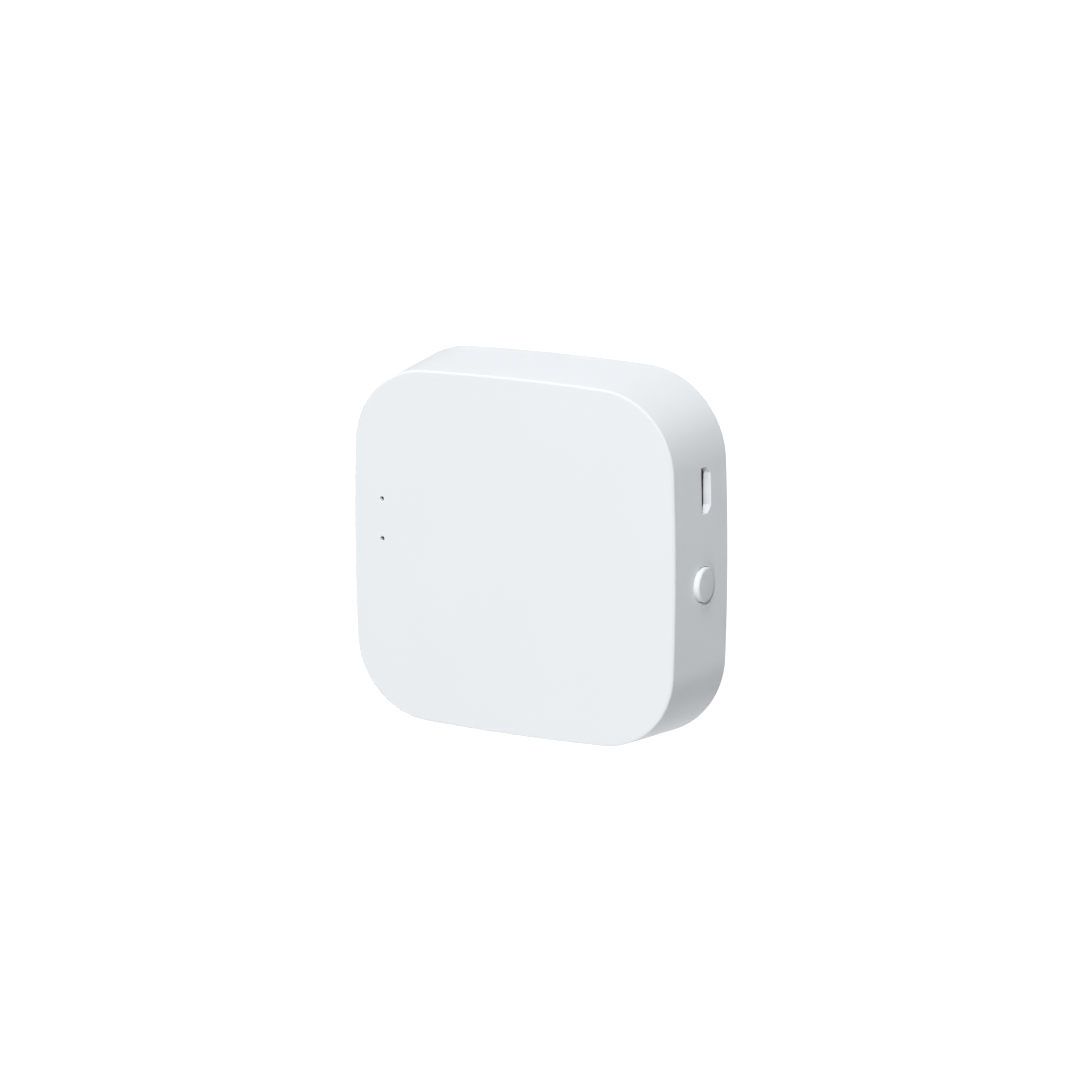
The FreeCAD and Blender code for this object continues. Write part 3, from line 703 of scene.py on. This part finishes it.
class OutlineSweep(GeometryTree):
    """Sweeps a wall's section round an outline of eight tangent arcs."""

    def __init__(self) -> None:
        """Builds the tree: four bowed sides, four corners, and the section along them."""
        lengths = ["Bow Radius", "Bow Middle", "Corner Radius", "Corner Middle", "Side Half Angle"]
        inputs = {label: TreeInput.LENGTH for label in lengths}
        inputs.update({label: TreeInput.COUNT for label in ("Side Steps", "Corner Steps")})
        super().__init__("outline_sweep", inputs)
        half = self.given("Side Half Angle")
        side = self._arc("Bow Radius", "Side Steps", 0 - half, 2 * half)
        side = self._moved(side, 0 - self.given("Bow Middle"), 0.0)
        corner = self._arc("Corner Radius", "Corner Steps", half, math.pi / 2 - 2 * half)
        middle = self.given("Corner Middle")
        corner = self._moved(corner, middle, middle)
        quarter = self.add("GeometryNodeJoinGeometry")
        for part in (corner, side):
            self.tree.links.new(part, quarter.inputs[0])
        edges = self.step("GeometryNodeCurveToMesh", {"Curve": quarter.outputs[0]})
        sides = self.ring(edges, 4, 0.0)
        real = self.step("GeometryNodeRealizeInstances", {"Geometry": sides})
        whole = self.step("GeometryNodeMergeByDistance", {"Geometry": real, "Distance": WELD})
        path = self.step("GeometryNodeMeshToCurve", {"Mesh": whole})
        upright = self.step("GeometryNodeSetCurveNormal", {"Curve": path}, {"mode": "Z_UP"})
        drawn = self.source.outputs["Geometry"]
        section = self.step("GeometryNodeMeshToCurve", {"Mesh": drawn})
        sockets = {"Curve": upright, "Profile Curve": section}
        self.finish(self.step("GeometryNodeCurveToMesh", sockets))

    def _arc(self, radius: str, steps: str, start: Value, sweep: Value) -> Any:
        """One arc about the origin, whose radius and number of points two inputs give."""
        sockets = {
            "Resolution": self.given(steps),
            "Radius": self.given(radius),
            "Start Angle": start,
            "Sweep Angle": sweep,
        }
        return self.add("GeometryNodeCurveArc", {"mode": "RADIUS"}, sockets).outputs["Curve"]

    def _moved(self, geometry: Any, x: Any, y: Any) -> Any:
        """Moves geometry in the outline's plane."""
        offset = self.step("ShaderNodeCombineXYZ", {"X": x, "Y": y})
        return self.step("GeometryNodeTransform", {"Geometry": geometry, "Translation": offset})


class CopiesRoundAxis(GeometryTree):
    """Copies of a shape, evenly round the Z axis."""

    def __init__(self) -> None:
        """Builds the tree."""
        inputs = {"Count": TreeInput.COUNT, "First Angle": TreeInput.LENGTH}
        super().__init__("copies_round_axis", inputs)
        shape = self.source.outputs["Geometry"]
        self.finish(self.ring(shape, self.given("Count"), self.given("First Angle")))


# The hub's outer form


@dataclass(frozen=True)
class BoxForm:
    """The outer form: eight tangent arcs that widen evenly from the front to the back."""

    depth: float = 16.8 * MM
    front_side: float = 62.0 * MM
    corner_radius: float = 14.0 * MM
    bow_radius: float = 460.0 * MM
    flare: float = 1.5 * MM
    front_edge: float = 0.5 * MM
    back_edge: float = 0.5 * MM

    @property
    def bow_middle(self) -> float:
        """How far behind the middle each side's bow has its centre."""
        return self.bow_radius - self.front_side / 2

    @property
    def corner_middle(self) -> float:
        """How far the corner arcs' centres are from the middle, so that all arcs are tangent."""
        reach = self.bow_middle
        return (math.sqrt(2 * (self.bow_radius - self.corner_radius) ** 2 - reach**2) - reach) / 2

    @property
    def side_half_angle(self) -> float:
        """Half the angle that a side's bow covers."""
        return math.atan2(self.corner_middle, self.corner_middle + self.bow_middle)

    def flare_at(self, z: float) -> float:
        """How much wider each half is at this height than at the front."""
        return self.flare * (1 - z / self.depth)

    def wall_x(self, y: float, z: float) -> float:
        """Where the right wall's surface is."""
        radius = self.bow_radius + self.flare_at(z)
        return math.sqrt(radius**2 - y**2) - self.bow_middle


@dataclass(frozen=True)
class Rim:
    """The small rounding where an opening breaks a surface."""

    radius: float
    overshoot: float = 0.3 * MM

    def levels(self, depth: float) -> list[Point]:
        """The opening's growth and height over the surface, from deep inside to just outside.

        Args:
            depth: how deep the opening is cut.
        Returns:
            The levels for a cutter.
        """
        rounded = []
        for degrees in (0, 22.5, 45, 67.5):
            angle = math.radians(degrees)
            growth = self.radius * (1 - math.cos(angle))
            rounded.append((growth, -self.radius * (1 - math.sin(angle))))
        last = rounded[-1]
        outside = (last[0] + self.overshoot / 2, last[1] + self.overshoot)
        return [(0.0, -depth)] + rounded + [outside]


# Sub-assemblies


@dataclass
class WallOpening:
    """An opening in the right wall, with a seat for its part in the wall's inside."""

    up: float
    height: float
    wall: float
    rim: Rim

    def outline(self) -> list[Point]:
        """The opening's outline about its own middle, anticlockwise from outside."""
        raise NotImplementedError

    def axis_at(self, x: float) -> Vector:
        """The point on the opening's axis at x."""
        return Vector((x, self.up, self.height))

    def seat_x(self, form: BoxForm) -> float:
        """Where the seat is, behind what is left of the wall."""
        return form.wall_x(self.up, self.height) - self.wall

    def opening(self, form: BoxForm, mould: Mould) -> None:
        """Adds the cutter of the opening, its rim rounded along the wall."""
        path = self.outline()
        loops = []
        for growth, over in self.rim.levels(CUT_THROUGH * self.wall):
            loop = []
            for u, v in grown(path, growth):
                y, z = self.up + u, self.height + v
                loop.append(Vector((form.wall_x(y, z) + over, y, z)))
            loops.append(loop)
        mould.loft(loops)


@dataclass
class Socket(WallOpening):
    """The micro-USB socket's opening in the right wall, and its seat inside.

    The mouth, its two cut corners and the seat are given by their width up the wall and their
    height from back to front.
    """

    up: float = 13.15 * MM
    height: float = 6.8 * MM
    mouth: Pair = (7.85 * MM, 2.75 * MM)
    mouth_chamfer: Pair = (1.1 * MM, 1.0 * MM)
    mouth_corner: float = 0.35 * MM
    wall: float = 1.25 * MM
    seat: Pair = (11.0 * MM, 6.0 * MM)
    seat_corner: float = 0.4 * MM
    seat_depth: float = 6.0 * MM
    rim: Rim = Rim(0.12 * MM)
    corner_steps: int = 5

    def outline(self) -> list[Point]:
        """The mouth's outline: a rounded box with two corners cut towards the back."""
        x, y = self.mouth[0] / 2, self.mouth[1] / 2
        cut_x, cut_y = self.mouth_chamfer
        radius, soft = self.mouth_corner, self.mouth_corner / 2
        corners = [
            (-x, -y + cut_y, soft),
            (-x + cut_x, -y, soft),
            (x - cut_x, -y, soft),
            (x, -y + cut_y, soft),
            (x, y, radius),
            (-x, y, radius),
        ]
        return rounded_path(corners, True, self.corner_steps)

    def pocket(self, form: BoxForm, mould: Mould) -> None:
        """Adds the cutter of the flat seat inside the wall."""
        seat_x = self.seat_x(form)
        path = rectangle(*self.seat, self.seat_corner)
        levels = [(0.0, seat_x - self.seat_depth), (0.0, seat_x)]
        mould.stack(path, levels, Axis.ALONG_X, self.axis_at(0))


@dataclass
class SideButton(WallOpening):
    """The round push button in the right wall. Its flange and stem have a diameter and a length."""

    up: float = -2.85 * MM
    height: float = 7.85 * MM
    diameter: float = 6.0 * MM
    proud: float = 0.7 * MM
    edge: float = 0.4 * MM
    gap: float = 0.1 * MM
    wall: float = 1.6 * MM
    flange: Pair = (8.2 * MM, 0.8 * MM)
    seat_gap: float = 0.6 * MM
    seat_depth: float = 4.0 * MM
    stem: Pair = (3.0 * MM, 1.4 * MM)
    soft_edge: float = 0.1 * MM
    axis_radius: float = 0.02 * MM
    rim: Rim = Rim(0.08 * MM)
    sides: int = 96

    def outline(self) -> list[Point]:
        """The round hole, a gap wider than the cap."""
        return round_path(self.diameter / 2 + self.gap, self.sides)

    def pocket(self, form: BoxForm, mould: Mould) -> None:
        """Adds the cutter of the round seat inside the wall."""
        radius = self.flange[0] / 2 + self.seat_gap
        profile = [(radius, -self.seat_depth), (radius, 0.0)]
        mould.turned(profile, Axis.ALONG_X, self.axis_at(self.seat_x(form)), self.sides)

    def stem_tip(self, form: BoxForm) -> float:
        """Where the stem ends and the switch's plunger starts."""
        return self.seat_x(form) - self.flange[1] - self.stem[1]

    def build(self, form: BoxForm) -> None:
        """Makes the cap: a round face with a soft edge, its flange and its stem."""
        seat_x = self.seat_x(form)
        face_x = form.wall_x(self.up, self.height) + self.proud
        radius, flange_radius = self.diameter / 2, self.flange[0] / 2
        flange_x = seat_x - self.flange[1]
        tip_x, soft = self.stem_tip(form), self.soft_edge
        corners = [
            (self.axis_radius, tip_x, 0.0),
            (self.stem[0] / 2, tip_x, soft),
            (self.stem[0] / 2, flange_x, soft),
            (flange_radius, flange_x, soft),
            (flange_radius, seat_x, soft),
            (radius, seat_x, 0.0),
            (radius, face_x, self.edge),
            (self.axis_radius, face_x, 0.0),
        ]
        profile = rounded_path(corners, False, EDGE_STEPS)
        mould = Mould().turned(profile, Axis.ALONG_X, self.axis_at(0), self.sides)
        show(smoothed(mould.piece("button")), "button_plastic", Body.BUTTON, ["button_cap"])


@dataclass
class SnapDome:
    """The thin steel dome in the switch, which the plunger presses flatter."""

    behind_stem: float = 2.35 * MM
    diameter: float = 3.4 * MM
    rise: float = 0.45 * MM
    sheet: float = 0.1 * MM
    travel: float = 0.3 * MM
    axis_radius: float = 0.02 * MM
    steps: int = 12
    sides: int = 64

    def profile(self) -> list[Point]:
        """The sheet's section, over the top to the foot and back below.

        Returns:
            Each point's distance from the axis, and its height over the foot.
        """
        outer = (self.diameter**2 / 4 + self.rise**2) / (2 * self.rise)
        middle = self.rise - outer
        skins = []
        for radius in (outer, outer - self.sheet):
            foot = math.acos(-middle / radius)
            skin = []
            for step in range(self.steps + 1):
                angle = foot * step / self.steps
                across = max(self.axis_radius, radius * math.sin(angle))
                skin.append((across, middle + radius * math.cos(angle)))
            skins.append(skin)
        return skins[0] + skins[1][::-1]

    def build(self, form: BoxForm, button: SideButton) -> None:
        """Makes the dome behind the button, with a mesh of its own."""
        foot = button.axis_at(button.stem_tip(form) - self.behind_stem)
        mould = Mould().turned(self.profile(), Axis.ALONG_X, foot, self.sides)
        piece = show(smoothed(mould.piece("snap_dome")), "spring_steel", stands_for=["switch_dome"])
        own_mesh(piece)


@dataclass
class StatusLights:
    """The two pinholes in the face, over the lights on the board."""

    x: float = -25.5 * MM
    ups: Pair = (7.6 * MM, 0.6 * MM)
    pinhole: float = 0.8 * MM
    bore: float = 2.6 * MM
    recess: float = 2.0 * MM
    wall: float = 0.8 * MM
    rim: Rim = Rim(0.1 * MM)
    sides: int = 48

    def openings(self, form: BoxForm, mould: Mould) -> None:
        """Adds the cutters of the pinholes, their rims rounded."""
        path = round_path(self.pinhole / 2, self.sides)
        for up in self.ups:
            at = Vector((self.x, up, form.depth))
            mould.stack(path, self.rim.levels(CUT_THROUGH * self.wall), Axis.ALONG_Z, at)

    def pockets(self, form: BoxForm, mould: Mould) -> None:
        """Adds the cutters of the recesses behind the pinholes."""
        for up in self.ups:
            at = Vector((self.x, up, form.depth - self.wall))
            profile = [(self.bore / 2, -self.recess), (self.bore / 2, 0.0)]
            mould.turned(profile, Axis.ALONG_Z, at, self.sides)


@dataclass
class HookGrooves:
    """The grooves inside the walls that the base plate's snap hooks bite into.

    Each hook is given by the wall it is at, in quarter turns from the right wall, and by its
    place along that wall. The insets are how far in from the wall's outside a groove starts and
    ends.
    """

    hooks: tuple[tuple[int, float], ...] = (
        (0, -16.0 * MM),
        (1, -12.0 * MM),
        (1, 12.0 * MM),
        (2, 13.0 * MM),
        (3, -12.0 * MM),
        (3, 12.0 * MM),
    )
    heights: Pair = (5.975 * MM, 7.175 * MM)
    width: float = 6.6 * MM
    insets: Pair = (1.2 * MM, 2.8 * MM)

    def pockets(self, form: BoxForm, mould: Mould) -> None:
        """Adds the cutter of each groove, its bottom along the wall."""
        outer, inner = self.insets
        for quarter, along in self.hooks:
            turn = Matrix.Rotation(quarter * math.pi / 2, 3, "Z")
            near, far = along - self.width / 2, along + self.width / 2
            corners = [(outer, near), (outer, far), (inner, far), (inner, near)]
            loops = []
            for z in self.heights:
                loop = [Vector((form.wall_x(y, z) - inset, y, z)) for inset, y in corners]
                loops.append([turn @ point for point in loop])
            mould.loft(loops)


@dataclass
class Bosses:
    """The four posts inside the shell that hold the board's screws, each ribbed to its corner.

    The pilot hole has a diameter and a depth. The rib has a thickness, and starts so far from
    the post's foot.
    """

    foot: float = 5.575 * MM
    diameter: float = 5.0 * MM
    pilot: Pair = (2.0 * MM, 5.0 * MM)
    rib: Pair = (1.0 * MM, 2.5 * MM)
    board_inset: float = 2.6 * MM
    hole_inset: float = 4.9 * MM
    axis_radius: float = 0.01 * MM
    count: int = 4
    sides: int = 48

    def build(self, form: BoxForm, shell_wall: float) -> None:
        """Makes one boss with its rib and copies it to the corners.

        Args:
            form: the hub's outer form.
            shell_wall: how thick the shell's walls and face are.
        """
        corner = math.sqrt(2) * form.corner_middle
        board_corner = form.corner_radius + form.flare_at(self.foot) - self.board_inset
        out = corner + board_corner - self.hole_inset
        root = form.depth - shell_wall / 2
        pilot_radius, pilot_depth = self.pilot[0] / 2, self.pilot[1]
        profile = [
            (self.axis_radius, self.foot + pilot_depth),
            (pilot_radius, self.foot + pilot_depth),
            (pilot_radius, self.foot),
            (self.diameter / 2, self.foot),
            (self.diameter / 2, root),
            (self.axis_radius, root),
        ]
        mould = Mould().turned(profile, Axis.ALONG_Z, Vector((out, 0, 0)), self.sides)
        start = out + (pilot_radius + self.diameter / 2) / 2
        loops = []
        for z in (self.foot + self.rib[1], root):
            end = corner + form.corner_radius + form.flare_at(z) - shell_wall / 2
            run, middle = rectangle(end - start, self.rib[0], 0.0), (start + end) / 2
            loops.append([Vector((x + middle, y, z)) for x, y in run])
        piece = mould.loft(loops).piece("housing_bosses")
        CopiesRoundAxis().run(
            piece,
            {
                "Count": self.count,
                "First Angle": math.pi / self.count,
                "Material": FINISHES["housing_plastic"].material(),
            },
        )
        show(smoothed(piece), "housing_plastic")


@dataclass
class Housing:
    """The white shell: one flared, bowed, round-cornered moulding."""

    form: BoxForm
    socket: Socket
    button: SideButton
    lights: StatusLights
    grooves: HookGrooves
    bosses: Bosses
    wall: float = 1.8 * MM
    face_wall: float = 1.8 * MM
    inner_edge: float = 0.3 * MM
    base_rim: float = 1.0 * MM
    base_rim_edge: float = 0.12 * MM
    base_depth: float = 1.6 * MM
    cap_inset: float = 11.5 * MM
    side_steps: int = 25
    corner_steps: int = 49

    def section(self) -> list[Point]:
        """The wall's section, from the middle of the face round the outside to the inside.

        Returns:
            How far out from the front outline, and how high, each point is.
        """
        form = self.form
        inner_top = form.depth - self.face_wall
        step_out = form.flare_at(self.base_depth)
        corners = [
            (-self.cap_inset, form.depth, 0.0),
            (0.0, form.depth, form.front_edge),
            (form.flare, 0.0, form.back_edge),
            (form.flare - self.base_rim, 0.0, self.base_rim_edge),
            (step_out - self.base_rim, self.base_depth, 0.0),
            (step_out - self.wall, self.base_depth, 0.0),
            (form.flare_at(inner_top) - self.wall, inner_top, self.inner_edge),
            (-self.cap_inset, inner_top, 0.0),
        ]
        return rounded_path(corners, False, EDGE_STEPS)

    def shell(self) -> Piece:
        """Sweeps the section round the outline and closes the face's middle."""
        section = self.section()
        data = bpy.data.meshes.new("housing")
        runs = [(i, i + 1) for i in range(len(section) - 1)]
        data.from_pydata([(out, -z, 0.0) for out, z in section], runs, [])
        piece = linked("housing", data)
        form = self.form
        OutlineSweep().run(
            piece,
            {
                "Bow Radius": form.bow_radius,
                "Bow Middle": form.bow_middle,
                "Corner Radius": form.corner_radius,
                "Corner Middle": form.corner_middle,
                "Side Half Angle": form.side_half_angle,
                "Side Steps": self.side_steps,
                "Corner Steps": self.corner_steps,
                "Material": FINISHES["housing_plastic"].material(),
            },
        )
        mesh = bmesh.new()
        mesh.from_mesh(piece.data)
        bmesh.ops.remove_doubles(mesh, verts=mesh.verts, dist=MERGE)
        open_edges = [edge for edge in mesh.edges if edge.is_boundary]
        bmesh.ops.holes_fill(mesh, edges=open_edges, sides=0)
        bmesh.ops.recalc_face_normals(mesh, faces=mesh.faces)
        mesh.to_mesh(piece.data)
        mesh.free()
        return piece

    def build(self) -> None:
        """Makes the shell, with its openings and seats cut."""
        piece = self.shell()
        openings, pockets = Mould(), Mould()
        for part in (self.socket, self.button):
            part.opening(self.form, openings)
            part.pocket(self.form, pockets)
        self.lights.openings(self.form, openings)
        self.lights.pockets(self.form, pockets)
        self.grooves.pockets(self.form, pockets)
        carved(piece, pockets.piece("pockets"))
        carved(piece, openings.piece("openings"))
        show(smoothed(piece), "housing_plastic", Body.HOUSING, ["front_housing"])
        self.bosses.build(self.form, self.wall)


def dress_cad_nodes() -> None:
    """Gives every CAD node that still shows its finish."""
    slots = {part["node"]: part["material_slot"] for part in frame["record"]["subparts"]}
    for name, node in frame["nodes"].items():
        if not node.hide_render:
            for holder in node.material_slots:
                holder.material = FINISHES[slots[name]].material()
            LOG.info("%s: CAD node, %s", name, slots[name])


# Camera and studio


@dataclass(frozen=True)
class PhotoCamera:
    """The camera, where the photograph was taken from."""

    target: Vector = field(default_factory=lambda: Vector((0, 0, 8.4 * MM)))
    yaw: float = math.radians(29.173)
    elevation: float = math.radians(13.264)
    roll: float = math.radians(-0.2555)
    distance: float = 875.9 * MM
    aside: Pair = (0.661 * MM, 1.369 * MM)
    lens: float = 171.46
    sensor: float = 36.0
    clip: Pair = (0.05, 20.0)

    def build(self) -> None:
        """Makes the camera and gives it to the scene."""
        across = Vector((math.cos(self.yaw), 0, -math.sin(self.yaw)))
        back = Vector(
            (
                math.sin(self.yaw) * math.cos(self.elevation),
                math.sin(self.elevation),
                math.cos(self.yaw) * math.cos(self.elevation),
            )
        )
        above = back.cross(across)
        cos, sin = math.cos(self.roll), math.sin(self.roll)
        right, up = across * cos + above * sin, above * cos - across * sin
        data = bpy.data.cameras.new("camera")
        data.lens, data.sensor_width = self.lens, self.sensor
        data.clip_start, data.clip_end = self.clip
        camera = bpy.data.objects.new("camera", data)
        camera.matrix_world = Matrix((right, up, back)).transposed().to_4x4()
        camera.location = (
            self.target + back * self.distance + right * self.aside[0] + up * self.aside[1]
        )
        bpy.context.scene.collection.objects.link(camera)
        bpy.context.scene.camera = camera


@dataclass(frozen=True)
class Softbox:
    """A large soft light that looks at the hub."""

    name: str
    side: Vector
    size: float
    glow: float
    distance: float = 1.8

    def build(self) -> None:
        """Makes the light: its power follows from how brightly its face glows."""
        data = bpy.data.lights.new(self.name, "AREA")
        data.shape = "SQUARE"
        data.size = self.size
        data.energy = self.glow * math.pi * self.size**2
        light = bpy.data.objects.new(self.name, data)
        light.location = self.side.normalized() * self.distance
        light.rotation_mode = "QUATERNION"
        light.rotation_quaternion = (-self.side).to_track_quat("-Z", "Y")
        light.visible_camera = light.visible_glossy = False
        bpy.context.scene.collection.objects.link(light)


def give_light(
    holder: bpy.types.World | bpy.types.Material, kind: str, output: str, sockets: dict[str, Any]
) -> None:
    """Makes a world or a material shine by a single node.

    Args:
        holder: the world or the material.
        kind: the node that gives the light.
        output: the output node that takes it.
        sockets: the light's inputs.
    """
    holder.use_nodes = True
    holder.node_tree.nodes.clear()
    graph = Graph(holder.node_tree)
    graph.add(output, sockets={"Surface": graph.step(kind, sockets)})


@dataclass(frozen=True)
class Studio:
    """A white room, a card that sends some light back up, and soft lights.

    The lights themselves don't show in the hub's gloss. It mirrors plain walls instead.
    """

    room_glow: float = 1.15
    card: Colour = (0.34, 0.34, 0.345)
    card_speck: float = 4.0 * MM
    walls: Colour = (0.4, 0.4, 0.4)
    half: float = 3.0
    floor_height: float = -0.02 * MM
    card_height: float = -0.03 * MM
    lights: tuple[Softbox, ...] = (
        Softbox("key", Vector((0.36, 0.52, 0.775)), 0.15, 332.0),
        Softbox("top", Vector((0.18, 0.86, 0.46)), 0.38, 23.0),
        Softbox("top_rake", Vector((-0.3, 0.95, 0.12)), 0.5, 7.5),
        Softbox("low_left", Vector((-0.29, -0.94, 0.19)), 0.5, 27.0),
        Softbox("low_front", Vector((0.26, -0.78, 0.57)), 0.5, 13.0),
        Softbox("left", Vector((-0.94, 0.34, 0.1)), 0.6, 14.0),
    )

    def build(self) -> None:
        """Makes the stage and sets how the scene is shown."""
        scene = bpy.context.scene
        scene.view_settings.view_transform = "Standard"
        world = bpy.data.worlds.new("walls")
        sockets = {"Color": (*self.walls, 1.0)}
        give_light(world, "ShaderNodeBackground", "ShaderNodeOutputWorld", sockets)
        world.cycles_visibility.diffuse = world.cycles_visibility.transmission = False
        scene.world = world
        self.room()
        self.card_below()
        for softbox in self.lights:
            softbox.build()

    def room(self) -> None:
        """The white floor and walls that the camera sees, and nothing else."""
        path = rectangle(2 * self.half, 2 * self.half, 0.0)
        levels = [(0.0, self.floor_height), (0.0, self.half)]
        piece = Mould().stack(path, levels, Axis.ALONG_Z, Vector()).piece("room")
        white = bpy.data.materials.new("room_white")
        sockets = {"Color": (1, 1, 1, 1), "Strength": self.room_glow}
        give_light(white, "ShaderNodeEmission", "ShaderNodeOutputMaterial", sockets)
        piece.data.materials.append(white)
        piece.visible_diffuse = piece.visible_glossy = False
        piece.visible_transmission = piece.visible_shadow = False

    def card_below(self) -> None:
        """The grey card under the hub, which the camera doesn't see."""
        outline = rectangle(2 * self.half, 2 * self.half, 0.0)
        data = bpy.data.meshes.new("card")
        points = [(x, y, self.card_height) for x, y in outline]
        data.from_pydata(points, [], [tuple(range(len(points)))])
        piece = linked("card", data)
        grey = Speckled("card_grey", self.card, 0.9, speck=self.card_speck)
        piece.data.materials.append(grey.material())
        piece.visible_camera = False


def main() -> None:
    """Builds the hub's pieces, the camera and the studio."""
    logging.basicConfig(level=logging.INFO, format="%(message)s")
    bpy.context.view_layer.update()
    PhotoCamera().build()
    Studio().build()
    form = BoxForm()
    socket, button, lights = Socket(), SideButton(), StatusLights()
    Housing(form, socket, button, lights, HookGrooves(), Bosses()).build()
    button.build(form)
    SnapDome().build(form, button)
    dress_cad_nodes()


if __name__ == "__main__":
    main()
